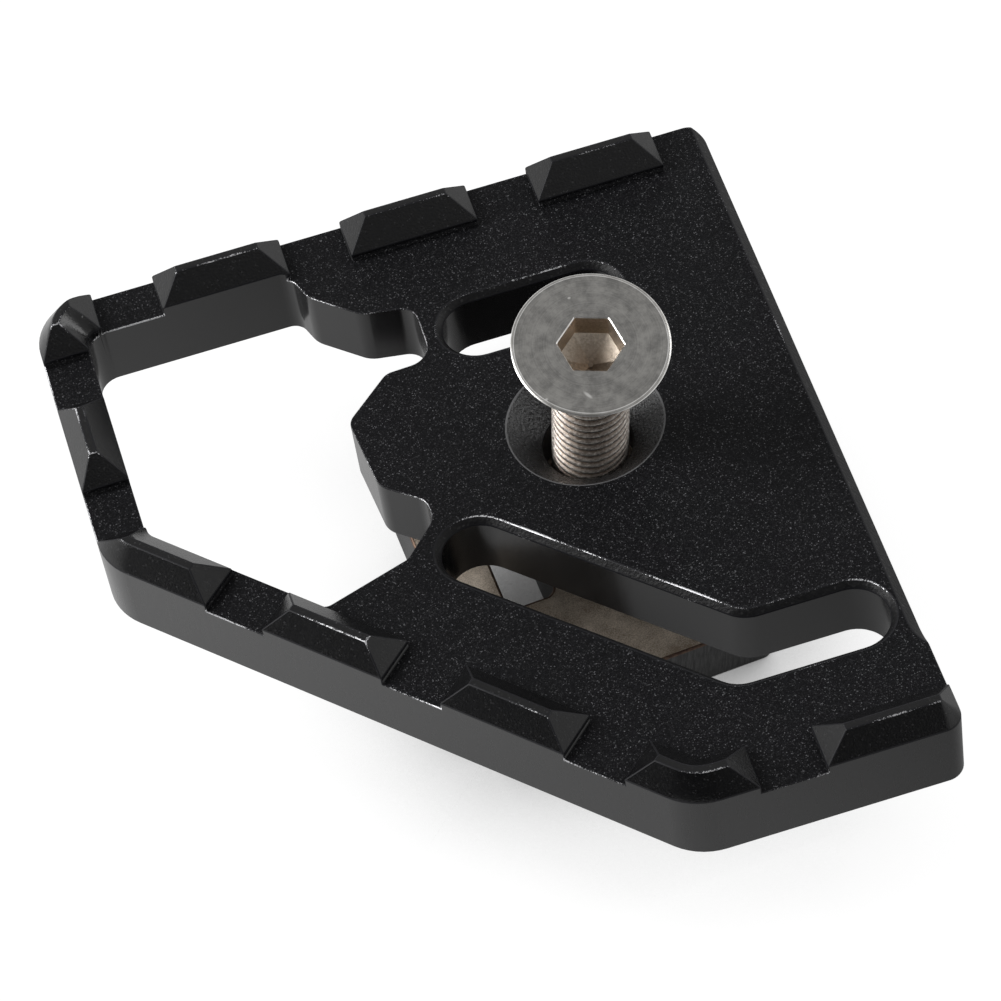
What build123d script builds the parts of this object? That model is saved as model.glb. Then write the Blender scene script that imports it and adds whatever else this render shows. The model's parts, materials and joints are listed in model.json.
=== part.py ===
from build123d import *
from math import atan2, cos, degrees, radians, sin
import os

# Brake pedal extension: a toothed alloy foot plate, a countersunk screw, and the jaw
# that the screw draws up under the pedal's own pad.
# Millimetres. The plate lies level, +Z up, with the origin on the axis of its
# countersunk hole, in the plane of the plate's underside.

# Plate: outline, seen from above
plate_left = -38.0
plate_right = 17.45
plate_back = 26.0
plate_front = -37.0
cut_up_left = 36.5  # how far the cut corner runs up the left side
cut_along_front = 34.9  # and how far it runs along the front
radius_left_back = 4.5
radius_cut_left = 5.0
radius_cut_front = 5.0
radius_right = 1.5

# Plate: thickness and teeth
plate_thickness = 5.6
tooth_height = 2.6  # ridge above the plate's flat
tooth_foot = 0.7  # upright wall below the slopes
tooth_lean = 1.35  # how far the outer slope leans in
ridge_width = 0.6
tooth_gap = 5.0
tooth_pitch = 15.4
left_tooth_length = 8.6
back_gap_start = 7.6  # middle of the first gap, from the left back corner
left_gap_start = 8.1  # the same, down the left side
slant_gap_start = 11.6  # along the slanted side, from its left end
front_gap_start = 7.6  # along the front, from the slanted side
front_tooth_foot = 1.3  # upright wall below the sloped right end of the front tooth
back_gap_count = 2
slant_gap_count = 3

# Plate: screw hole, slots and the large opening
hole_radius = 3.5
countersink_radius = 6.05
slot_width = 5.5
slot_chamfer = 0.5
top_slot_y = 12.4
top_slot_left = -5.05  # centres of its end arcs
top_slot_right = 3.75
bent_slot_left = (-11.1, -8.8)
bent_slot_bend = (4.4, -24.4)
bent_slot_right = (13.15, -24.4)
rim_back = 3.7
rim_left = 3.7
rim_slant = 4.2
bend_radius = 3.0  # inside the bent slot's bend
edge_chamfer = 0.8  # along the bare right edge
edge_chamfer_end = -26.4
edge_cutter_radius = 3.0

# Screw: M6 countersunk, hexagon socket
screw_length = 30.0
thread_radius = 2.95
head_radius = 5.9
head_edge = 0.15  # the thin upright rim of the head
socket_flats = 4.3
socket_turn = -19.0  # degrees round the screw, from its side
socket_depth = 2.4
socket_point = 0.9  # drill point under the hexagon
drill_tip = 0.2  # radius of its blunt end
tip_chamfer = 0.7
screw_lean = 13.5  # degrees from upright, in its loose hole
screw_heading = -83.0  # the way it leans, degrees round from +X
head_stand_off = 18.5  # head top from the middle of the hole's land, along the screw

# Jaw: steel clamp plate on the screw's thread
jaw_turn = 4.0  # degrees round the screw
jaw_left = -14.8
jaw_right = 9.0
jaw_front = -16.4
jaw_back = 7.8
jaw_thickness = 7.0
jaw_depth = 3.8  # its top face below the middle of the hole's land, along the screw
jaw_corner = 1.0
jaw_edge = 0.3
notch_left = -9.9
notch_right = -6.05
notch_end = -8.2
notch_corner = 0.8
thread_clearance = 0.05

# Worked out from the sizes above
tooth_slope = tooth_height - tooth_foot
tooth_top = plate_thickness + tooth_height
foot_reach = tooth_lean + ridge_width + tooth_slope
past = 1.0  # how far a cut runs past the metal
cut_left = Vector(plate_left, plate_front + cut_up_left)
cut_front = Vector(plate_left + cut_along_front, plate_front)
slant_along = (cut_front - cut_left).normalized()
slant_inward = Vector(-slant_along.Y, slant_along.X)
land_length = plate_thickness - (countersink_radius - hole_radius)
land_middle = land_length / 2
lean = Vector(
    sin(radians(screw_lean)) * cos(radians(screw_heading)),
    sin(radians(screw_lean)) * sin(radians(screw_heading)),
    cos(radians(screw_lean)),
)
lean_side = (Vector(1, 0, 0) - lean * lean.X).normalized()
land_plane = Plane(origin=(0, 0, land_middle), x_dir=lean_side, z_dir=lean)
head_plane = land_plane.offset(head_stand_off)
jaw_side = lean_side.rotate(Axis((0, 0, 0), lean), jaw_turn)
jaw_plane = Plane(origin=land_plane.offset(-jaw_depth).origin, x_dir=jaw_side, z_dir=lean)


def slant_inner_y(x):
    """The y at this x of the line that runs rim_slant inside the slanted side."""
    across = rim_slant - (x - cut_left.X) * slant_inward.X
    return cut_left.Y + across / slant_inward.Y


# Foot plate: one piece of alloy, milled from the solid
plate_corners = [
    (plate_left, plate_back),
    (plate_right, plate_back),
    (plate_right, plate_front),
    (cut_front.X, cut_front.Y),
    (cut_left.X, cut_left.Y),
]
plate_radii = [radius_left_back, radius_right, radius_right, radius_cut_front, radius_cut_left]

inner_left = plate_left + rim_left
inner_back = plate_back - rim_back
opening_front_x = -23.2
opening = [  # corner x, corner y, fillet radius, clockwise from the left back corner
    (inner_left, inner_back, 1.8),
    (-17.55, inner_back, 1.2),
    (-16.75, 19.9, 2.2),
    (-13.25, 16.65, 2.2),
    (-9.2, 15.9, 1.5),
    (-9.3, 10.35, 1.8),
    (-13.05, 10.2, 1.3),
    (-17.0, 6.6, 1.3),
    (-16.45, -0.3, 1.8),
    (-13.4, -2.9, 1.7),
    (-13.4, -4.75, 1.7),
    (-16.2, -7.7, 1.0),
    (opening_front_x, slant_inner_y(opening_front_x), 0.8),
    (inner_left, slant_inner_y(inner_left), 1.5),
]

# Where each gap between two teeth is cut: a point on the outer edge and the way along it
gap_places = []
for number in range(back_gap_count + 1):
    along_back = plate_left + back_gap_start + number * tooth_pitch
    gap_places.append((Vector(along_back, plate_back), Vector(1, 0), Vector(0, -1)))
left_step = left_tooth_length + tooth_gap
for number in range(2):
    down_left = plate_back - left_gap_start - number * left_step
    gap_places.append((Vector(plate_left, down_left), Vector(0, 1), Vector(1, 0)))
for number in range(slant_gap_count):
    down_slant = cut_left + slant_along * (slant_gap_start + number * tooth_pitch)
    gap_places.append((down_slant, slant_along * -1, slant_inward))
front_gap = Vector(cut_front.X + front_gap_start, plate_front)
gap_places.append((front_gap, Vector(-1, 0), Vector(0, 1)))
last_tooth_end = plate_left + back_gap_start + back_gap_count * tooth_pitch
last_tooth_end += tooth_gap / 2 + (tooth_pitch - tooth_gap)

with BuildPart() as foot_plate:
    with BuildSketch() as outline:
        with BuildLine():
            FilletPolyline(*plate_corners, radius=plate_radii, close=True)
        make_face()
    extrude(amount=tooth_top)

    # The field inside the teeth is milled down to the plate's flat
    with BuildSketch(Plane.XY.offset(plate_thickness)):
        add(outline.sketch)
        offset(amount=-foot_reach, kind=Kind.INTERSECTION)
    extrude(amount=tooth_height, mode=Mode.SUBTRACT)
    top_rim = foot_plate.faces().filter_by(Axis.Z).sort_by(Axis.Z)[-1]
    chamfer(top_rim.inner_wires()[0].edges(), length=tooth_slope)
    top_rim = foot_plate.faces().filter_by(Axis.Z).sort_by(Axis.Z)[-1]
    chamfer(top_rim.outer_wire().edges(), length=tooth_lean, length2=tooth_slope, reference=top_rim)

    # Gaps between the teeth, with end faces at 45 degrees above the foot
    for edge_point, along, inward in gap_places:
        start = edge_point - inward * past
        gap_plane = Plane(
            origin=(start.X, start.Y, plate_thickness),
            x_dir=(along.X, along.Y, 0),
            z_dir=(inward.X, inward.Y, 0),
        )
        half_gap = tooth_gap / 2
        with BuildSketch(gap_plane):
            with BuildLine():
                Polyline(
                    (-half_gap, 0),
                    (half_gap, 0),
                    (half_gap, tooth_foot),
                    (half_gap + tooth_slope + past, tooth_height + past),
                    (-half_gap - tooth_slope - past, tooth_height + past),
                    (-half_gap, tooth_foot),
                    close=True,
                )
            make_face()
        extrude(amount=foot_reach + 2 * past, mode=Mode.SUBTRACT)

    # The right side is bare: past the last back tooth and down to the front tooth
    bare_plane = Plane(
        origin=(last_tooth_end, plate_back + past, plate_thickness),
        x_dir=(1, 0, 0),
        z_dir=(0, -1, 0),
    )
    bare_length = plate_back + past - (plate_front + foot_reach)
    bare_width = plate_right - last_tooth_end + past
    with BuildSketch(bare_plane):
        with BuildLine():
            Polyline(
                (0, 0),
                (bare_width, 0),
                (bare_width, tooth_height + past),
                (-tooth_slope - past, tooth_height + past),
                (0, tooth_foot),
                close=True,
            )
        make_face()
    extrude(amount=bare_length, mode=Mode.SUBTRACT)

    # The front tooth's inner slope runs straight on to the plate's bare side
    straight_start = plate_right - foot_reach
    slope_plane = Plane(
        origin=(straight_start, plate_front + foot_reach, plate_thickness),
        x_dir=(0, 1, 0),
        z_dir=(1, 0, 0),
    )
    with BuildSketch(slope_plane):
        with BuildLine():
            Polyline(
                (0, tooth_foot),
                (past, tooth_foot),
                (past, tooth_height + past),
                (-tooth_slope - past, tooth_height + past),
                close=True,
            )
        make_face()
    extrude(amount=foot_reach + past, mode=Mode.SUBTRACT)

    # Its right end slopes like the others, from the plate's own side
    end_plane = Plane(
        origin=(plate_right, plate_front + foot_reach + past, plate_thickness),
        x_dir=(1, 0, 0),
        z_dir=(0, -1, 0),
    )
    end_rise = tooth_height + past - front_tooth_foot
    with BuildSketch(end_plane):
        with BuildLine():
            Polyline(
                (0, front_tooth_foot),
                (past, front_tooth_foot),
                (past, tooth_height + past),
                (-end_rise, tooth_height + past),
                close=True,
            )
        make_face()
    extrude(amount=foot_reach + 2 * past, mode=Mode.SUBTRACT)

    # Countersunk hole for the screw
    with Locations((0, 0, plate_thickness)):
        CounterSinkHole(radius=hole_radius, counter_sink_radius=countersink_radius, counter_sink_angle=90)

    # Large opening at the left, straight through
    with BuildSketch():
        with BuildLine():
            FilletPolyline(
                *[(x, y) for x, y, radius in opening],
                radius=[radius for x, y, radius in opening],
                close=True,
            )
        make_face()
    extrude(amount=tooth_top, mode=Mode.SUBTRACT)

    # Two slots, straight through, with their top edges broken
    slot_runs = [
        (Vector(top_slot_left, top_slot_y), Vector(top_slot_right, top_slot_y)),
        (Vector(bent_slot_left), Vector(bent_slot_bend)),
        (Vector(bent_slot_bend), Vector(bent_slot_right)),
    ]
    bend_at = Vector(bent_slot_bend)
    with BuildSketch() as slots:
        for run_start, run_end in slot_runs:
            SlotCenterPoint((run_start + run_end) * 0.5, run_end, slot_width)
        inner_bend = slots.vertices().sort_by_distance(bend_at + Vector(1, slot_width / 2))[0]
        fillet(inner_bend, radius=bend_radius)
    extrude(amount=plate_thickness, mode=Mode.SUBTRACT)
    with BuildSketch(Plane.XY.offset(plate_thickness)) as slot_rims:
        for run_start, run_end in slot_runs:
            SlotCenterPoint((run_start + run_end) * 0.5, run_end, slot_width + 2 * slot_chamfer)
        inner_rim = slot_rims.vertices().sort_by_distance(bend_at + Vector(1, slot_width / 2, plate_thickness))[0]
        fillet(inner_rim, radius=bend_radius - slot_chamfer)
    extrude(amount=-slot_chamfer, taper=45, mode=Mode.SUBTRACT)

    # Chamfer along the bare right edge, run out in the curve of its cutter
    cutter_x = plate_right + edge_cutter_radius
    cutter_foot = plate_thickness - edge_chamfer
    cutter_top_radius = edge_cutter_radius + edge_chamfer
    with BuildSketch(Plane(origin=(plate_right, edge_chamfer_end, 0), x_dir=(1, 0, 0), z_dir=(0, 1, 0))):
        with BuildLine():
            Polyline(
                (0, -cutter_foot),
                (-edge_chamfer, -plate_thickness),
                (past, -plate_thickness),
                (past, -cutter_foot),
                close=True,
            )
        make_face()
    extrude(amount=plate_back - edge_chamfer_end + past, mode=Mode.SUBTRACT)
    with BuildSketch(Plane(origin=(cutter_x, edge_chamfer_end, 0), x_dir=(1, 0, 0), z_dir=(0, -1, 0))):
        with BuildLine():
            Polyline(
                (0, cutter_foot),
                (edge_cutter_radius, cutter_foot),
                (cutter_top_radius, plate_thickness),
                (0, plate_thickness),
                close=True,
            )
        make_face()
    revolve(axis=Axis((cutter_x, edge_chamfer_end, 0), (0, 0, 1)), mode=Mode.SUBTRACT)

# Screw: turned and threaded steel, countersunk head with a hexagon socket
head_cone = head_radius - thread_radius
with BuildPart() as screw:
    with BuildSketch(Plane(origin=head_plane.origin, x_dir=head_plane.x_dir, z_dir=-head_plane.y_dir)):
        with BuildLine():
            Polyline(
                (0, 0),
                (head_radius, 0),
                (head_radius, -head_edge),
                (thread_radius, -head_edge - head_cone),
                (thread_radius, -screw_length + tip_chamfer),
                (thread_radius - tip_chamfer, -screw_length),
                (0, -screw_length),
                close=True,
            )
        make_face()
    revolve(axis=Axis(head_plane.origin, head_plane.z_dir))
    with BuildSketch(head_plane):
        RegularPolygon(radius=socket_flats / 2, side_count=6, major_radius=False, rotation=socket_turn)
    extrude(amount=-socket_depth, mode=Mode.SUBTRACT)
    with BuildSketch(head_plane.offset(-socket_depth)):
        Circle(socket_flats / 2)
    drill_taper = degrees(atan2(socket_flats / 2 - drill_tip, socket_point))
    extrude(amount=-socket_point, taper=drill_taper, mode=Mode.SUBTRACT)

# Jaw: a block of plain steel on the screw, notched from the back
with BuildPart() as jaw:
    with BuildSketch(jaw_plane):
        with BuildLine():
            FilletPolyline(
                (jaw_left, jaw_front),
                (jaw_right, jaw_front),
                (jaw_right, jaw_back),
                (notch_right, jaw_back),
                (notch_right, notch_end),
                (notch_left, notch_end),
                (notch_left, jaw_back),
                (jaw_left, jaw_back),
                radius=[
                    jaw_corner,
                    jaw_corner,
                    jaw_corner,
                    jaw_edge,
                    notch_corner,
                    notch_corner,
                    jaw_edge,
                    jaw_corner,
                ],
                close=True,
            )
        make_face()
    extrude(amount=-jaw_thickness)
    with BuildSketch(jaw_plane):
        Circle(thread_radius + thread_clearance)
    extrude(amount=-jaw_thickness, mode=Mode.SUBTRACT)

foot_plate.part.label = "foot_plate"
screw.part.label = "screw"
jaw.part.label = "jaw"
os.makedirs("parts", exist_ok=True)
export_step(foot_plate.part, "parts/foot_plate.step")
export_step(screw.part, "parts/screw.step")
export_step(jaw.part, "parts/jaw.step")
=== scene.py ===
import json
import math

import bmesh
import bpy
from mathutils import Matrix, Vector


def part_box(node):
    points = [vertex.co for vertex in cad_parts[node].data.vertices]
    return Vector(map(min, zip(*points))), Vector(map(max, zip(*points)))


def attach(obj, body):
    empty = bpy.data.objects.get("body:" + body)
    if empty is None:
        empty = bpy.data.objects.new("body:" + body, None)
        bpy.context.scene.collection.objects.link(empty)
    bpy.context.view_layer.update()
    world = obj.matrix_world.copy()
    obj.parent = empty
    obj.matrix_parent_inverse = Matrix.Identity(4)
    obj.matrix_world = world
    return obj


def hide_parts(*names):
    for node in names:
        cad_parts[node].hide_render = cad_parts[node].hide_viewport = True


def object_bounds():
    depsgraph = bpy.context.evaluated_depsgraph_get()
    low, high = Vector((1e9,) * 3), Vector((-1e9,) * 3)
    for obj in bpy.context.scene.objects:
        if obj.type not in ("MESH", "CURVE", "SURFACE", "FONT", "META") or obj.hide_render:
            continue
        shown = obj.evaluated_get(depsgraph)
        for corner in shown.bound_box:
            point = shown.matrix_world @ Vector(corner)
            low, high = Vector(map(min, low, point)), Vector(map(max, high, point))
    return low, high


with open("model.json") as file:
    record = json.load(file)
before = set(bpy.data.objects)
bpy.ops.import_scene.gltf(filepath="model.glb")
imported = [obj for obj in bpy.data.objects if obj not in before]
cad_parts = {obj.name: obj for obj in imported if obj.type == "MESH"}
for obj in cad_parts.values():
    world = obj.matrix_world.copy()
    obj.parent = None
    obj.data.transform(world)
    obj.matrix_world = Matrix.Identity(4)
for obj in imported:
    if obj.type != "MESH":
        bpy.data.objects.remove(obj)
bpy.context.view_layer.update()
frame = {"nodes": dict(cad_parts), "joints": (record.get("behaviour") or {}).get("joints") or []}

# Foot plate
# One piece of alloy, milled from 8 mm stock: teeth, slots, opening and countersink.
# It was bead-blasted and anodised black, and its handled edges are rubbed back to metal.
MM = 0.001
plate_flat = 5.6 * MM
plate_middle = Vector((-10 * MM, -3 * MM, 0))
wall_band = 2 * MM
wall_top = plate_flat + 0.7 * MM
cut_direction = Vector((-0.7228, -0.6911, 0))
cut_reach = 27.79 * MM
countersink_reach = 6.2 * MM
rim_band = 0.12 * MM
edge_round = 0.085 * MM
broken_from = math.radians(24)
same_point = 0.002 * MM
same_plane = math.radians(0.4)
level_face = 0.98
upright_face = 0.08
front_left = (-0.5, -0.87, 0)


def welded(node):
    """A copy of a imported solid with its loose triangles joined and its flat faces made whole."""
    shape = bmesh.new()
    shape.from_mesh(frame["nodes"][node].data)
    bmesh.ops.remove_doubles(shape, verts=shape.verts, dist=same_point)
    bmesh.ops.dissolve_limit(shape, angle_limit=same_plane, verts=shape.verts, edges=shape.edges)
    return shape


def new_finish(name):
    """A new material, its node tree and its shader."""
    finish = bpy.data.materials.new(name)
    finish.use_nodes = True
    return finish, finish.node_tree, finish.node_tree.nodes["Principled BSDF"]


def finish_number(finishes, name):
    """The place of a finish in its piece's list of finishes."""
    return list(finishes).index(name)


def put(tree, kind, inputs=None, **settings):
    """Adds a node. An input that is a socket is linked, and any other is set."""
    node = tree.nodes.new(kind)
    for key, value in settings.items():
        setattr(node, key, value)
    for key, value in (inputs or {}).items():
        if isinstance(value, bpy.types.NodeSocket):
            tree.links.new(value, node.inputs[key])
        else:
            node.inputs[key].default_value = value
    return node


def maths(tree, operation, *values):
    """One sum worked out from sockets and numbers."""
    return put(tree, "ShaderNodeMath", dict(enumerate(values)), operation=operation).outputs[0]


def part_way(tree, value, low, high):
    """How far a value is on its way from low to high, from 0 to 1."""
    node = put(tree, "ShaderNodeMapRange", {"Value": value, "From Min": low, "From Max": high})
    return node.outputs[0]


def along(tree, way, line):
    """How far one direction points along another, from -1 to 1."""
    return put(tree, "ShaderNodeVectorMath", {0: way, 1: line}, operation="DOT_PRODUCT").outputs["Value"]


def ramp(tree, value, stops):
    """A colour ramp: stops are (place, grey or colour)."""
    node = put(tree, "ShaderNodeValToRGB", {"Fac": value})
    marks = node.color_ramp.elements
    while len(marks) < len(stops):
        marks.new(0.5)
    for mark, (place, colour) in zip(marks, stops):
        mark.position = place
        grey = isinstance(colour, (int, float))
        mark.color = (colour, colour, colour, 1) if grey else (*colour, 1)
    return node.outputs["Color"]


def noise(tree, where, size, detail=2.0, roughness=0.5):
    """Soft random tone whose lumps are about this size, in metres."""
    sizes = {"Vector": where, "Scale": 1 / size, "Detail": detail, "Roughness": roughness}
    return put(tree, "ShaderNodeTexNoise", sizes).outputs["Fac"]


def mixed(tree, share, first, second):
    """The first colour where share is 0, the second where it is 1."""
    node = put(tree, "ShaderNodeMix", data_type="RGBA")
    share_in, first_in, second_in = node.inputs["Factor"], node.inputs[6], node.inputs[7]
    for socket, value in ((share_in, share), (first_in, first), (second_in, second)):
        if isinstance(value, bpy.types.NodeSocket):
            tree.links.new(value, socket)
        else:
            socket.default_value = value if isinstance(value, float) else (*value, 1)
    return node.outputs[2]


def bumped(tree, height, depth):
    """A bump this deep, in metres."""
    node = put(tree, "ShaderNodeBump", {"Height": height, "Strength": 1.0, "Distance": depth})
    return node.outputs["Normal"]


# Share of the grain's points up to here, and how bright such a point is against the base; the brightest are
# painted glints
point_tones = [(0.0, 0.25), (0.5, 0.8), (0.8, 1.5), (0.92, 3.2), (0.975, 9.0), (1.0, 22.0)]
brightest_point = point_tones[-1][1]
white_from = 4
whitest = 0.8
cloud_size = 6 * MM
cloud_dark = 0.8
cloud_light = 1.2
lump_in_grains = 1.5


def blasted_black(name, base, painted_glint, grain, grain_depth, rough, shine):
    """Bead-blasted black anodising: a fine grain of dull and bright points, each its own tone; the
    brightest are painted glints of light.
    """
    finish, tree, shader = new_finish(name)
    where = put(tree, "ShaderNodeTexCoord").outputs["Object"]
    points = put(tree, "ShaderNodeTexVoronoi", {"Vector": where, "Scale": 1 / grain})
    single = put(tree, "ShaderNodeSeparateColor", {0: points.outputs["Color"]})
    grey = sum(base) / 3
    stops = []
    for place, bright in point_tones:
        level = 1 + (bright - 1) * painted_glint
        whiteness = min(whitest, bright / white_from)
        stops.append((place, [level / brightest_point * (v + (grey - v) * whiteness) / grey for v in base]))
    tone = ramp(tree, single.outputs[0], stops)
    cloud = noise(tree, where, cloud_size, 3.0)
    level = put(tree, "ShaderNodeMapRange", {"Value": cloud, "To Min": cloud_dark, "To Max": cloud_light})
    scale = maths(tree, "MULTIPLY", level.outputs[0], grey * brightest_point)
    colour = put(tree, "ShaderNodeVectorMath", {0: tone, "Scale": scale}, operation="SCALE")
    tree.links.new(colour.outputs[0], shader.inputs["Base Color"])
    lumps = noise(tree, where, grain * lump_in_grains, 2.0, 0.6)
    tree.links.new(bumped(tree, lumps, grain_depth), shader.inputs["Normal"])
    shader.inputs["Roughness"].default_value = rough
    shader.inputs["Specular IOR Level"].default_value = shine
    return finish


drawn_down = (1, 1, 0.15)


def satin_black(name, base, rough, shine, lump, depth):
    """Milled alloy under black anodising: satin, with soft streaks down the cutter's path."""
    finish, tree, shader = new_finish(name)
    where = put(tree, "ShaderNodeTexCoord").outputs["Object"]
    drawn = put(tree, "ShaderNodeVectorMath", {0: where, 1: drawn_down}, operation="MULTIPLY")
    streaks = noise(tree, drawn.outputs[0], lump, 3.0, 0.6)
    tones = [(0.3, [v * 0.85 for v in base]), (0.7, [v * 1.2 for v in base])]
    gloss = [(0.3, rough * 0.92), (0.7, rough * 1.1)]
    tree.links.new(ramp(tree, streaks, tones), shader.inputs["Base Color"])
    tree.links.new(ramp(tree, streaks, gloss), shader.inputs["Roughness"])
    tree.links.new(bumped(tree, streaks, depth), shader.inputs["Normal"])
    shader.inputs["Specular IOR Level"].default_value = shine
    return finish


# How much handling an edge has had, by its height in mm and by how far it faces front left
handled_heights = [(0.0, 0.1), (5.3, 0.2), (5.5, 1.0), (5.7, 1.0), (6.2, 0.1), (7.9, 0.5), (8.15, 0.9)]
handled_sides = [(0.35, 0.25), (0.5, 0.5), (0.65, 0.85), (0.85, 1.0)]
handled_weight = 0.40
height_scale = 10
worn_patch = 5 * MM
worn_through = [(0.70, 0.0), (0.735, 1.0)]


def rubbed(name, base, metal, size):
    """Edge metal: anodising rubbed through in dots and dashes where hands and boots reach it."""
    finish, tree, shader = new_finish(name)
    spot = put(tree, "ShaderNodeTexCoord").outputs
    dots = noise(tree, spot["Object"], size, 3.0, 0.75)
    patch = noise(tree, spot["Object"], worn_patch, 2.0)
    height = put(tree, "ShaderNodeSeparateXYZ", {0: spot["Object"]}).outputs["Z"]
    up = maths(tree, "DIVIDE", height, height_scale * MM)
    by_height = ramp(tree, up, [(place / height_scale, share) for place, share in handled_heights])
    turned = part_way(tree, along(tree, spot["Normal"], front_left), -1.0, 1.0)
    by_side = ramp(tree, turned, handled_sides)
    handled = maths(tree, "MULTIPLY", by_height, by_side)
    chance = maths(tree, "ADD", patch, dots)
    chance = maths(tree, "MULTIPLY_ADD", handled, handled_weight, chance)
    worn = ramp(tree, maths(tree, "MULTIPLY", chance, 0.5), worn_through)
    tree.links.new(mixed(tree, worn, base, metal), shader.inputs["Base Color"])
    tree.links.new(ramp(tree, worn, [(0.0, 0.5), (1.0, 0.42)]), shader.inputs["Roughness"])
    tree.links.new(ramp(tree, worn, [(0.0, 0.0), (1.0, 0.8)]), shader.inputs["Metallic"])
    shader.inputs["Specular IOR Level"].default_value = 0.25
    return finish


plate_finishes = {
    # painted_glint sets how strongly the grain's brightest points are painted as glints of light.
    "flat": blasted_black(
        "blasted_black", base=(0.0053, 0.0054, 0.0070), painted_glint=1.0,
        grain=0.078 * MM, grain_depth=0.035 * MM, rough=0.55, shine=0.12,
    ),
    "tooth slope": blasted_black(
        "tooth_black", base=(0.0028, 0.0028, 0.0034), painted_glint=0.35,
        grain=0.11 * MM, grain_depth=0.015 * MM, rough=0.22, shine=0.46,
    ),
    "outer wall": satin_black(
        "wall_satin", base=(0.008, 0.008, 0.0085),
        rough=0.28, shine=0.54, lump=0.5 * MM, depth=0.004 * MM,
    ),
    "inner wall": satin_black(
        "milled_wall", base=(0.006, 0.006, 0.0065),
        rough=0.20, shine=0.54, lump=0.35 * MM, depth=0.004 * MM,
    ),
    "underside": blasted_black(
        "underside_black", base=(0.006, 0.006, 0.0075), painted_glint=0.7,
        grain=0.09 * MM, grain_depth=0.010 * MM, rough=0.5, shine=0.3,
    ),
    "edge": rubbed(
        "rubbed_edges", base=(0.008, 0.008, 0.010), metal=(0.70, 0.70, 0.72), size=0.11 * MM,
    ),
    # Painted lighter than the flats, standing in for the light the cone catches.
    "countersink": satin_black(
        "countersink_black", base=(0.020, 0.020, 0.021),
        rough=0.28, shine=0.6, lump=0.22 * MM, depth=0.13 * MM,
    ),
    # Painted light grey to lift the shade inside the hole.
    "hole wall": satin_black(
        "hole_wall_painted_light", base=(0.035, 0.034, 0.034),
        rough=0.35, shine=0.6, lump=0.30 * MM, depth=0.004 * MM,
    ),
    "chamfer": blasted_black(
        "chamfer_black", base=(0.006, 0.006, 0.007), painted_glint=0.3,
        grain=0.17 * MM, grain_depth=0.05 * MM, rough=0.45, shine=0.22,
    ),
    # An even light grey line on the countersink's rounded rim.
    "countersink rim": satin_black(
        "countersink_rim_light_line", base=(0.12, 0.12, 0.123),
        rough=0.40, shine=0.4, lump=0.35 * MM, depth=0.004 * MM,
    ),
}

plate_shape = welded("foot_plate")
plate_low, plate_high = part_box("foot_plate")


def plate_finish(face):
    """Which finish a face of the plate has, by its slope, its height and how near it is to the rim."""
    middle = face.calc_center_median()
    slope = face.normal.z
    in_hole = math.hypot(middle.x, middle.y) < countersink_reach and middle.z < plate_flat - rim_band
    if in_hole and upright_face < slope < level_face:
        return "countersink"
    if in_hole and abs(slope) <= upright_face:
        return "hole wall"
    if slope < -level_face:
        return "underside"
    if slope > level_face and middle.z < plate_flat + rim_band:
        return "flat"
    if abs(slope) > upright_face:
        return "tooth slope" if middle.z > plate_flat else "chamfer"
    from_ends = min(middle.x - plate_low.x, plate_high.x - middle.x)
    from_sides = min(middle.y - plate_low.y, plate_high.y - middle.y)
    on_cut = middle.dot(cut_direction) > cut_reach - wall_band
    outwards = Vector((face.normal.x, face.normal.y, 0))
    facing_out = outwards.dot(middle - plate_middle) > 0
    if (min(from_ends, from_sides) < wall_band or on_cut) and facing_out and middle.z < wall_top:
        return "outer wall"
    return "flat" if middle.z > plate_flat else "inner wall"


for face in plate_shape.faces:
    face.material_index = finish_number(plate_finishes, plate_finish(face))
    face.smooth = True
plate_mesh = bpy.data.meshes.new("foot_plate_milled")
plate_shape.to_mesh(plate_mesh)
plate_shape.free()
foot_plate = bpy.data.objects.new("foot_plate_milled", plate_mesh)
bpy.context.scene.collection.objects.link(foot_plate)
for finish in plate_finishes.values():
    plate_mesh.materials.append(finish)


def broken_edges(piece, width, finish_index):
    """Rounds a piece's sharp outward edges by this width, in the finish of that number."""
    shape = bmesh.new()
    shape.from_mesh(piece.data)
    weight = shape.edges.layers.float.new("bevel_weight_edge")
    for edge in shape.edges:
        outward = edge.is_manifold and edge.is_convex and edge.calc_face_angle() > broken_from
        edge[weight] = 1.0 if outward else 0.0
    shape.to_mesh(piece.data)
    shape.free()
    rounding = piece.modifiers.new("edges", "BEVEL")
    rounding.width = width
    rounding.segments = 2
    rounding.limit_method = "WEIGHT"
    rounding.use_clamp_overlap = False
    rounding.material = finish_index
    flats = piece.modifiers.new("flats", "WEIGHTED_NORMAL")
    flats.weight = 100
    evaluated = piece.evaluated_get(bpy.context.evaluated_depsgraph_get())
    made = bpy.data.meshes.new_from_object(evaluated)
    piece.modifiers.clear()
    old, piece.data = piece.data, made
    made.name = piece.name
    bpy.data.meshes.remove(old)


edge_number = finish_number(plate_finishes, "edge")
broken_edges(foot_plate, edge_round, edge_number)
# The countersink's rounded rim takes its own light grey line.
for face in foot_plate.data.polygons:
    from_hole = math.hypot(face.center.x, face.center.y)
    on_rim = from_hole < countersink_reach and face.center.z > plate_flat - rim_band
    if on_rim and face.material_index == edge_number:
        face.material_index = finish_number(plate_finishes, "countersink rim")
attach(foot_plate, "foot_plate")
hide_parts("foot_plate")

# Jaw
# A block of plain steel, sawn and ground, with a threaded hole for the screw.
# It was left bare: a dull warm grey on top, painted lighter as if lit through the slot, darker and scored
# down its sides.
jaw_edge_round = 0.22 * MM
stain_size = 2.5 * MM
drive = next(j for j in frame["joints"] if j["name"] == "screw_drive")
jaw_up = Vector([-v for v in drive["axis"]])


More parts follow.
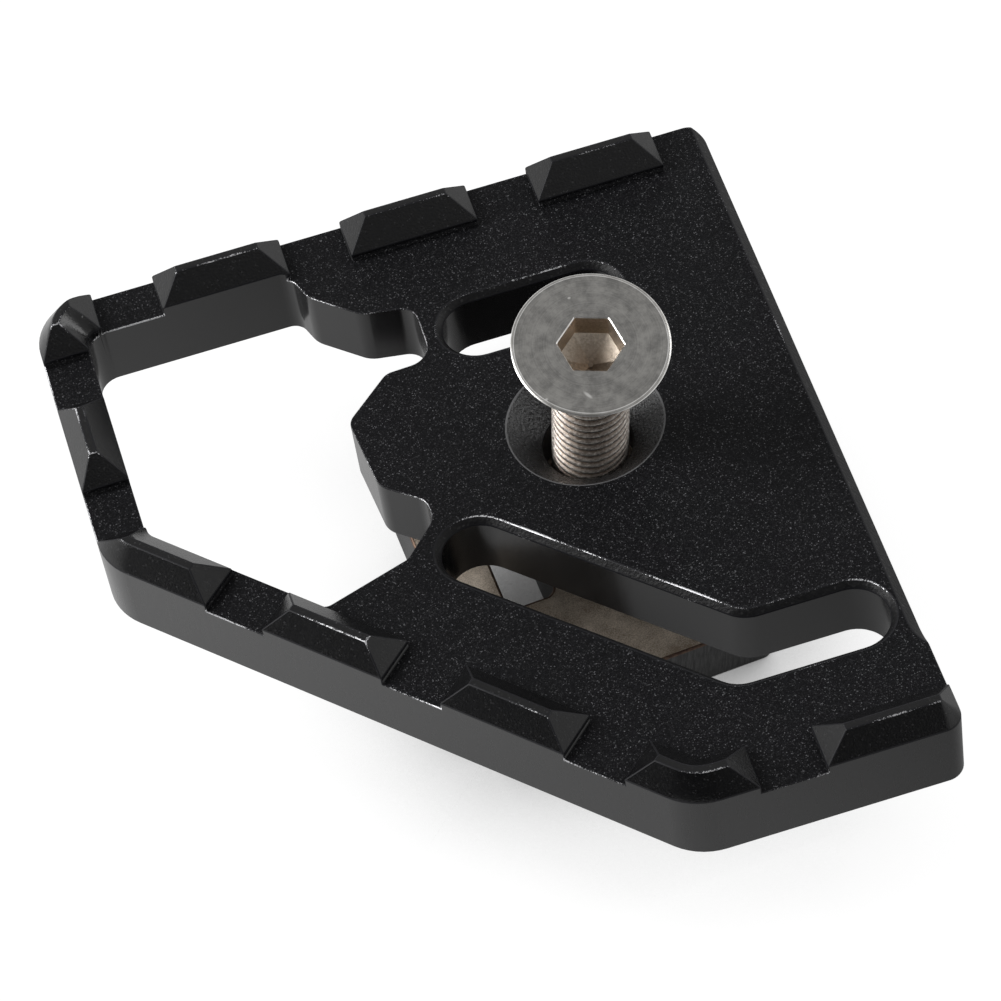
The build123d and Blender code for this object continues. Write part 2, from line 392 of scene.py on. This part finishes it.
def bare_steel(name, light, dark, size, stretch, depth, stained, metal):
    """Bare steel in two tones, scored along one way of the block and stained in patches."""
    finish, tree, shader = new_finish(name)
    where = put(tree, "ShaderNodeTexCoord").outputs["Object"]
    turn = {"Vector": where, "Rotation": jaw_up.to_track_quat("Z", "Y").to_euler(), "Scale": stretch}
    turned = put(tree, "ShaderNodeMapping", turn, vector_type="TEXTURE")
    scores = noise(tree, turned.outputs[0], size, 4.0, 0.6)
    stain = noise(tree, where, stain_size, 4.0, 0.6)
    tone = mixed(tree, stained, scores, stain)
    tree.links.new(ramp(tree, tone, [(0.40, dark), (0.60, light)]), shader.inputs["Base Color"])
    tree.links.new(ramp(tree, scores, [(0.3, 0.4), (0.7, 0.6)]), shader.inputs["Roughness"])
    tree.links.new(bumped(tree, scores, depth), shader.inputs["Normal"])
    shader.inputs["Metallic"].default_value = metal
    return finish


jaw_finishes = {
    # The top's tones are partly painted light, as if lit through the plate's slot.
    "top": bare_steel(
        "jaw_top_painted_light_steel", light=(0.74, 0.645, 0.54), dark=(0.30, 0.24, 0.18),
        size=0.10 * MM, stretch=(1, 1, 1), depth=0.025 * MM, stained=0.5, metal=0.45,
    ),
    "side": bare_steel(
        "jaw_side_steel", light=(0.08, 0.08, 0.08), dark=(0.010, 0.010, 0.010),
        size=0.16 * MM, stretch=(1, 1, 14), depth=0.06 * MM, stained=0.15, metal=0.6,
    ),
    "edge": bare_steel(
        "jaw_edge_brown", light=(0.20, 0.13, 0.09), dark=(0.07, 0.04, 0.03),
        size=0.3 * MM, stretch=(1, 1, 1), depth=0.01 * MM, stained=0.5, metal=0.6,
    ),
}

jaw_shape = welded("jaw")
for face in jaw_shape.faces:
    side_name = "top" if abs(face.normal.dot(jaw_up)) > level_face else "side"
    face.material_index = finish_number(jaw_finishes, side_name)
    face.smooth = True
jaw_mesh = bpy.data.meshes.new("clamp_jaw")
jaw_shape.to_mesh(jaw_mesh)
jaw_shape.free()
jaw = bpy.data.objects.new("clamp_jaw", jaw_mesh)
bpy.context.scene.collection.objects.link(jaw)
for finish in jaw_finishes.values():
    jaw_mesh.materials.append(finish)
broken_edges(jaw, jaw_edge_round, finish_number(jaw_finishes, "edge"))
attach(jaw, "jaw")
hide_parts("jaw")

# Screw
# M6 countersunk screw of steel, 30 mm long, turned and threaded to under its head.
# Its head is faced in a lathe, and the broached hexagon and the thread hold brown oil, deepened by painted
# shade.
head_radius = 5.9 * MM
head_rim = 0.15 * MM
thread_radius = 2.95 * MM
thread_core = 2.40 * MM
thread_pitch = 1.0 * MM
screw_length = 30 * MM
socket_flats = 4.3 * MM
socket_depth = 2.4 * MM
socket_point = 3.3 * MM
point_radius = 0.2 * MM
socket_turn = math.radians(-19)
mouth_chamfer = 0.08 * MM
sharp_from = math.radians(22)
around = 120

screw_points = [v.co for v in frame["nodes"]["screw"].data.vertices]
lean = next(j for j in frame["joints"] if j["name"] == "loose_lean")
lean_pivot = Vector(lean["pos_m"])
head_height = max((p - lean_pivot).dot(jaw_up) for p in screw_points)
head_middle = lean_pivot + jaw_up * head_height
side_way = (Vector((1, 0, 0)) - jaw_up * jaw_up.x).normalized()
screw_place = Matrix((side_way, jaw_up.cross(side_way), jaw_up)).transposed().to_4x4()
screw_place.translation = head_middle


def screw_space(tree):
    """Coordinates in the screw's own frame: along its axis in Z, from the head's middle."""
    where = put(tree, "ShaderNodeTexCoord").outputs["Object"]
    place = {"Vector": where, "Location": screw_place.translation, "Rotation": screw_place.to_euler()}
    return put(tree, "ShaderNodeMapping", place, vector_type="TEXTURE").outputs[0]


def radius_of(tree, own):
    """Distance from the screw's axis."""
    flat = put(tree, "ShaderNodeVectorMath", {0: own, 1: (1, 1, 0)}, operation="MULTIPLY")
    return put(tree, "ShaderNodeVectorMath", {0: flat.outputs[0]}, operation="LENGTH").outputs["Value"]


ring_width = 0.10 * MM
ring_share = 0.2
dull_patch = 1.3 * MM
nick_metal = (0.92, 0.91, 0.88)
nick_fade = [(0.4, 0.75), (1.0, 0.0)]
# Place across the head and size in mm, and turn in degrees
head_nicks = [(-0.38, 4.10, 0.16, 0.11, 0), (-1.47, -3.92, 0.50, 0.16, -58), (-4.50, -3.39, 0.22, 0.14, 30)]


def faced_steel(name, light, dark, rough, ring_depth, nicks=()):
    """Steel faced in a lathe: fine rings about the screw's axis, dull patches and a few bright nicks."""
    finish, tree, shader = new_finish(name)
    own = screw_space(tree)
    ring_sizes = {"W": radius_of(tree, own), "Scale": 1 / ring_width, "Detail": 3.0}
    rings = put(tree, "ShaderNodeTexNoise", ring_sizes, noise_dimensions="1D").outputs["Fac"]
    patches = noise(tree, own, dull_patch, 5.0, 0.7)
    tone = maths(tree, "MULTIPLY_ADD", rings, ring_share, patches)
    colour = ramp(tree, tone, [(0.46, dark), (0.72, light)])
    for x, y, long, wide, turn in nicks:
        spot = put(tree, "ShaderNodeMapping", {"Vector": own}, vector_type="TEXTURE")
        spot.inputs["Location"].default_value = (x * MM, y * MM, 0)
        spot.inputs["Rotation"].default_value = (0, 0, math.radians(turn))
        spot.inputs["Scale"].default_value = (long * MM, wide * MM, 1)
        far = put(tree, "ShaderNodeVectorMath", {0: spot.outputs[0]}, operation="LENGTH").outputs["Value"]
        colour = mixed(tree, ramp(tree, far, nick_fade), colour, nick_metal)
    gloss = [(0.3, rough * 0.9), (0.7, rough * 1.1)]
    tree.links.new(colour, shader.inputs["Base Color"])
    tree.links.new(ramp(tree, patches, gloss), shader.inputs["Roughness"])
    tree.links.new(bumped(tree, rings, ring_depth), shader.inputs["Normal"])
    shader.inputs["Metallic"].default_value = 1.0
    return finish


mottle_size = 0.22 * MM
mottle_depth = 0.03 * MM
mottle_weight = 1.1
# Socket tones: brown oil and painted shade towards the socket's point, lighter up its walls.
socket_oil_and_painted_shade_tones = [(0.22, (0.16, 0.12, 0.09)), (0.52, (0.38, 0.32, 0.26)), (0.70, (0.66, 0.58, 0.49))]
# Thread tones: brown oil and painted shade in the hollows, a painted highlight on the crests.
thread_oil_and_painted_light_tones = [
    (0.24, (0.030, 0.016, 0.010)),
    (0.50, (0.14, 0.105, 0.08)),
    (0.68, (0.34, 0.295, 0.26)),
    (0.82, (0.80, 0.76, 0.71)),
]


def oily_painted_light_steel(name, tones, low, high):
    """Thread or socket steel: its tones run from the hollow's, at radius low, to the crest's, painting
    shade into the oily hollows.
    """
    finish, tree, shader = new_finish(name)
    own = screw_space(tree)
    far = part_way(tree, radius_of(tree, own), low, high)
    mottle = noise(tree, own, mottle_size, 5.0, 0.7)
    tone = maths(tree, "MULTIPLY_ADD", mottle, mottle_weight, far)
    tree.links.new(ramp(tree, maths(tree, "MULTIPLY", tone, 0.5), tones), shader.inputs["Base Color"])
    tree.links.new(ramp(tree, mottle, [(0.3, 0.28), (0.7, 0.5)]), shader.inputs["Roughness"])
    tree.links.new(bumped(tree, mottle, mottle_depth), shader.inputs["Normal"])
    shader.inputs["Metallic"].default_value = 0.95
    return finish


screw_finishes = {
    "face": faced_steel(
        "faced_head_steel", light=(0.43, 0.42, 0.40), dark=(0.26, 0.255, 0.245),
        rough=0.38, ring_depth=0.005 * MM, nicks=head_nicks,
    ),
    "socket": oily_painted_light_steel("socket_steel", socket_oil_and_painted_shade_tones, low=0.0, high=3 * MM),
    # Turned steel painted near white: a painted highlight line round the head's rim and the socket's mouth.
    "painted highlight rim": faced_steel(
        "painted_highlight_rim_steel", light=(0.98, 0.97, 0.95), dark=(0.72, 0.71, 0.69),
        rough=0.34, ring_depth=0.002 * MM,
    ),
    "cone": faced_steel(
        "turned_cone_steel", light=(0.34, 0.33, 0.31), dark=(0.20, 0.19, 0.18),
        rough=0.34, ring_depth=0.004 * MM,
    ),
    "turned edge": faced_steel(
        "turned_edge_steel", light=(0.50, 0.49, 0.47), dark=(0.36, 0.35, 0.33),
        rough=0.30, ring_depth=0.002 * MM,
    ),
    "thread": oily_painted_light_steel("thread_steel", thread_oil_and_painted_light_tones, low=thread_core, high=thread_radius),
}


def hexagon(flats, turn):
    """Distance from the middle to a hexagon's side in this direction."""
    from_corner = (turn - socket_turn + math.pi / 6) % (math.pi / 3) - math.pi / 6
    return flats / 2 / math.cos(math.pi / 6 - abs(from_corner))


def screw_ring(shape, reach, depth):
    """One ring of points round the screw; reach is a radius or a rule for one."""
    ring = []
    for step in range(around):
        turn = 2 * math.pi * step / around
        radius = reach(turn) if callable(reach) else reach
        ring.append(shape.verts.new((radius * math.cos(turn), radius * math.sin(turn), -depth)))
    return ring


head_cone = head_radius - thread_radius
cone_end = head_rim + head_cone
# How far in from the head's rim and down from its face, in mm, and the band that ends there
# The rim bands alternate turned steel with thin painted highlight lines.
rounded_rim = [
    (0.27, 0.0, "face"),
    (0.20, 0.012, "painted highlight rim"),
    (0.12, 0.035, "turned edge"),
    (0.05, 0.07, "turned edge"),
    (0.0, 0.12, "painted highlight rim"),
]
# How far out, how deep, and the band that ends there, from the socket's point to the neck
head_rings = [
    (point_radius, socket_point, "socket"),
    (lambda turn: hexagon(socket_flats, turn), socket_depth, "socket"),
    (lambda turn: hexagon(socket_flats, turn), mouth_chamfer, "socket"),
    (lambda turn: hexagon(socket_flats + 2 * mouth_chamfer, turn), 0.0, "painted highlight rim"),
    *[(head_radius - inwards * MM, down * MM, band) for inwards, down, band in rounded_rim],
    (head_radius, head_rim, "painted highlight rim"),
    (head_radius - 0.06 * MM, head_rim + 0.07 * MM, "cone"),
    (thread_radius + 0.25 * MM, cone_end - 0.25 * MM, "cone"),
    (thread_radius + 0.02 * MM, cone_end + 0.12 * MM, "cone"),
    (thread_core + 0.1 * MM, cone_end + 0.35 * MM, "cone"),
]
head_shape = bmesh.new()
last = None
for reach, depth, band in head_rings:
    ring = screw_ring(head_shape, reach, depth)
    if last is None:
        made_faces = [head_shape.faces.new(ring)]
    else:
        pairs = [(step, (step + 1) % around) for step in range(around)]
        made_faces = [head_shape.faces.new((last[a], ring[a], ring[b], last[b])) for a, b in pairs]
    for face in made_faces:
        face.material_index = finish_number(screw_finishes, band)
    last = ring
bmesh.ops.recalc_face_normals(head_shape, faces=head_shape.faces)
for face in head_shape.faces:
    face.smooth = True
for edge in head_shape.edges:
    edge.smooth = not edge.is_manifold or edge.calc_face_angle() < sharp_from
head_mesh = bpy.data.meshes.new("countersunk_screw")
head_shape.to_mesh(head_mesh)
head_shape.free()
screw = bpy.data.objects.new("countersunk_screw", head_mesh)
bpy.context.scene.collection.objects.link(screw)
for finish in screw_finishes.values():
    head_mesh.materials.append(finish)

crest_end = 0.17
hollow_start = 0.83
run_in_slope = 1.2


def thread_tree():
    """Joins a rolled thread to the head: a sheet wound round the axis, its rows along the helix."""
    tree = bpy.data.node_groups.new("rolled_thread", "GeometryNodeTree")
    face = tree.interface
    face.new_socket("Geometry", in_out="INPUT", socket_type="NodeSocketGeometry")
    named = {}
    for label in ("Top", "Tip", "Pitch", "Crest radius", "Core radius", "Tip chamfer"):
        named[label] = face.new_socket(label, in_out="INPUT", socket_type="NodeSocketFloat").identifier
    for label in ("Rows in a turn", "Turns"):
        named[label] = face.new_socket(label, in_out="INPUT", socket_type="NodeSocketInt").identifier
    named["Finish"] = face.new_socket("Finish", in_out="INPUT", socket_type="NodeSocketMaterial").identifier
    face.new_socket("Geometry", in_out="OUTPUT", socket_type="NodeSocketGeometry")
    given = tree.nodes.new("NodeGroupInput").outputs
    top, tip, crest, core = given["Top"], given["Tip"], given["Crest radius"], given["Core radius"]

    rows = maths(tree, "MULTIPLY", given["Rows in a turn"], given["Turns"])
    sheet = put(tree, "GeometryNodeMeshGrid", {"Size X": 1.0, "Size Y": 1.0, "Vertices X": around + 1})
    tree.links.new(maths(tree, "ADD", rows, 1), sheet.inputs["Vertices Y"])
    spot = put(tree, "ShaderNodeSeparateXYZ", {0: put(tree, "GeometryNodeInputPosition").outputs[0]})
    round_share = maths(tree, "ADD", spot.outputs["X"], 0.5)
    turns_down = maths(tree, "MULTIPLY", maths(tree, "ADD", spot.outputs["Y"], 0.5), given["Turns"])
    angle = maths(tree, "MULTIPLY", round_share, 2 * math.pi)
    drop = maths(tree, "MULTIPLY", maths(tree, "SUBTRACT", turns_down, round_share), given["Pitch"])
    depth = maths(tree, "MAXIMUM", maths(tree, "ADD", top, drop), top)
    depth = maths(tree, "MINIMUM", depth, tip)

    wave = maths(tree, "PINGPONG", maths(tree, "MULTIPLY", turns_down, 2), 1)
    flank = maths(tree, "MULTIPLY", part_way(tree, wave, crest_end, hollow_start), -1)
    rolled = maths(tree, "MULTIPLY_ADD", flank, maths(tree, "SUBTRACT", crest, core), crest)
    from_tip = maths(tree, "SUBTRACT", tip, depth)
    tip_radius = maths(tree, "SUBTRACT", crest, given["Tip chamfer"])
    pointed = maths(tree, "MINIMUM", rolled, maths(tree, "ADD", tip_radius, from_tip))
    from_top = maths(tree, "SUBTRACT", depth, top)
    run_in = maths(tree, "ADD", core, maths(tree, "MULTIPLY", from_top, run_in_slope))
    radius = maths(tree, "MINIMUM", pointed, run_in)

    place = put(tree, "ShaderNodeCombineXYZ")
    tree.links.new(maths(tree, "MULTIPLY", radius, maths(tree, "COSINE", angle)), place.inputs["X"])
    tree.links.new(maths(tree, "MULTIPLY", radius, maths(tree, "SINE", angle)), place.inputs["Y"])
    tree.links.new(maths(tree, "MULTIPLY", depth, -1), place.inputs["Z"])
    wound_to = {"Geometry": sheet.outputs[0], "Position": place.outputs[0]}
    wound = put(tree, "GeometryNodeSetPosition", wound_to)
    smooth = put(tree, "GeometryNodeSetShadeSmooth", {"Geometry": wound.outputs[0]})
    seam = {"Geometry": smooth.outputs[0], "Distance": same_point}
    joined = put(tree, "GeometryNodeMergeByDistance", seam)
    real = put(tree, "GeometryNodeRealizeInstances", {"Geometry": joined.outputs[0]})
    paint = {"Geometry": real.outputs[0], "Material": given["Finish"]}
    painted = put(tree, "GeometryNodeSetMaterial", paint)
    whole = put(tree, "GeometryNodeJoinGeometry")
    tree.links.new(painted.outputs[0], whole.inputs[0])
    tree.links.new(given["Geometry"], whole.inputs[0])
    tree.links.new(whole.outputs[0], tree.nodes.new("NodeGroupOutput").inputs[0])
    return tree, named


tree, named = thread_tree()
thread = screw.modifiers.new("thread", "NODES")
thread.node_group = tree
thread_top = cone_end + 0.2 * MM
thread_sizes = {
    "Top": thread_top,
    "Tip": screw_length,
    "Pitch": thread_pitch,
    "Crest radius": thread_radius,
    "Core radius": thread_core,
    "Tip chamfer": 0.7 * MM,
    "Rows in a turn": 12,
    "Turns": math.ceil((screw_length - thread_top) / thread_pitch) + 1,
    "Finish": screw_finishes["thread"],
}
for label, value in thread_sizes.items():
    thread[named[label]] = value
bpy.context.view_layer.update()
evaluated = screw.evaluated_get(bpy.context.evaluated_depsgraph_get())
screw_mesh = bpy.data.meshes.new_from_object(evaluated)
screw.modifiers.clear()
screw.data = screw_mesh
bpy.data.meshes.remove(head_mesh)

at_tip = -screw_length + 0.01 * MM
closing = bmesh.new()
closing.from_mesh(screw_mesh)
tip_edges = [e for e in closing.edges if e.is_boundary and e.verts[0].co.z < at_tip]
bmesh.ops.contextual_create(closing, geom=tip_edges)
closing.to_mesh(screw_mesh)
closing.free()
screw_mesh.transform(screw_place)
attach(screw, "screw")
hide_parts("screw")

# Table
# A white table under the parts, wide enough to fill the picture and what the steel mirrors.
# It shows the parts' soft shadow, mostly painted from how near they are, and what the walls mirror of it is
# painted darker to the right.
table_reach = 3.0
table_gap = 0.02 * MM
table_white = (0.88, 0.88, 0.88, 1)
seen_white = 0.90
mirrored_white = 0.85
white_strength = 1.08
shadow_reach = 17 * MM
shadow_tones = [(0.12, 0.02), (0.36, 0.40), (0.62, 0.85), (0.80, 1.0)]
mirrored_reach = 0.08
# Painted shade for what the walls mirror: the table is painted darker to the right, as if lit from the
# left.
painted_mirror_shade_tones = [(0.15, 1.0), (0.36, 0.60), (0.52, 0.52), (0.66, 0.27), (0.76, 0.42)]
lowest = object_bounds()[0].z - table_gap
corners = [(-1, -1), (1, -1), (1, 1), (-1, 1)]
table_mesh = bpy.data.meshes.new("table")
table_mesh.from_pydata([(x * table_reach, y * table_reach, lowest) for x, y in corners], [], [(0, 1, 2, 3)])
table = bpy.data.objects.new("table", table_mesh)
bpy.context.scene.collection.objects.link(table)
white, tree, shader = new_finish("table_white")
shader.inputs["Base Color"].default_value = table_white
shader.inputs["Roughness"].default_value = 0.9
shader.inputs["Specular IOR Level"].default_value = 0.1
path = put(tree, "ShaderNodeLightPath").outputs
mirrored = maths(tree, "MAXIMUM", path["Is Glossy Ray"], path["Is Transmission Ray"])
mirrored = maths(tree, "MULTIPLY", mirrored, mirrored_white)
direct = maths(tree, "MULTIPLY", path["Is Camera Ray"], seen_white)
share = maths(tree, "MAXIMUM", mirrored, direct)
open_sky = put(tree, "ShaderNodeAmbientOcclusion", {"Distance": shadow_reach}, samples=12)
in_shadow = ramp(tree, open_sky.outputs["AO"], shadow_tones)
# What glossy rays see of the table is painted darker to the right; the camera sees it evenly white.
where = put(tree, "ShaderNodeTexCoord").outputs["Object"]
across = put(tree, "ShaderNodeSeparateXYZ", {0: where}).outputs["X"]
painted_mirror_falloff = ramp(tree, part_way(tree, across, -mirrored_reach, mirrored_reach), painted_mirror_shade_tones)
by_side = mixed(tree, path["Is Camera Ray"], painted_mirror_falloff, (1.0, 1.0, 1.0))
whiteness = put(tree, "ShaderNodeVectorMath", {0: in_shadow, 1: by_side}, operation="MULTIPLY")
glow = put(tree, "ShaderNodeEmission", {"Color": whiteness.outputs[0], "Strength": white_strength})
blend = put(tree, "ShaderNodeMixShader", {0: share, 1: shader.outputs[0], 2: glow.outputs[0]})
tree.links.new(blend.outputs[0], tree.nodes["Material Output"].inputs["Surface"])
table_mesh.materials.append(white)

# Light
# A pale room that is darkest towards the front left, where the plate's walls mirror it.
# Two square softboxes add a little, most of it from the left.
room_heights = [(0.0, 0.95), (0.45, 0.55), (1.0, 0.42)]
room_front = [(0.60, 1.0), (0.76, 0.8), (0.83, 0.4), (0.88, 0.08)]
lamp_aim = Vector((-0.01, 0, 0))
room = bpy.data.worlds.new("studio")
room.use_nodes = True
bpy.context.scene.world = room
tree = room.node_tree
direction = put(tree, "ShaderNodeTexCoord").outputs["Generated"]
height = put(tree, "ShaderNodeSeparateXYZ", {0: direction}).outputs["Z"]
by_height = ramp(tree, height, room_heights)
to_front = part_way(tree, along(tree, direction, front_left), -1.0, 1.0)
room_light = put(
    tree, "ShaderNodeVectorMath", {0: by_height, 1: ramp(tree, to_front, room_front)}, operation="MULTIPLY"
)
tree.links.new(room_light.outputs[0], tree.nodes["Background"].inputs["Color"])
tree.nodes["Background"].inputs["Strength"].default_value = 1.0


def softbox(name, place, size, power):
    """A square soft lamp at this place, aimed near the plate's middle."""
    light = bpy.data.lights.new(name, "AREA")
    light.shape = "SQUARE"
    light.size = size
    light.energy = power
    item = bpy.data.objects.new(name, light)
    item.location = place
    item.rotation_mode = "QUATERNION"
    item.rotation_quaternion = (lamp_aim - Vector(place)).to_track_quat("-Z", "Y")
    bpy.context.scene.collection.objects.link(item)


softbox("left_softbox", place=(-0.58, 0.08, 0.42), size=0.35, power=4.2)
softbox("right_softbox", place=(0.66, 0.10, 0.34), size=0.30, power=0.9)

# Camera
# A long lens in front of the plate and above it, turned and tilted as the photo was taken.
# Its place and its length come from the plate's straight edges and the round countersink.
picture_side = 1001
lens_pixels = 4645.0
sensor = 36.0
heading = math.radians(8.21)
look_down = math.radians(51.64)
roll = math.radians(-10.13)
lens_place = Vector((-39.1 * MM, -219.33 * MM, 273.71 * MM + plate_flat))
level_right = Vector((math.cos(heading), -math.sin(heading), 0))
level_forward = Vector((math.sin(heading), math.cos(heading), 0))
lens_forward = level_forward * math.cos(look_down) - Vector((0, 0, math.sin(look_down)))
level_up = level_right.cross(lens_forward)
lens_right = level_right * math.cos(roll) + level_up * math.sin(roll)
lens_up = level_up * math.cos(roll) - level_right * math.sin(roll)
camera_data = bpy.data.cameras.new("camera")
camera_data.sensor_width = sensor
camera_data.lens = lens_pixels / picture_side * sensor
camera_data.clip_start = 0.01
camera_data.clip_end = 20
camera = bpy.data.objects.new("camera", camera_data)
camera.rotation_mode = "QUATERNION"
camera.rotation_quaternion = Matrix((lens_right, lens_up, -lens_forward)).transposed().to_quaternion()
camera.location = lens_place
bpy.context.scene.collection.objects.link(camera)
bpy.context.scene.camera = camera
bpy.context.scene.view_settings.view_transform = "Standard"
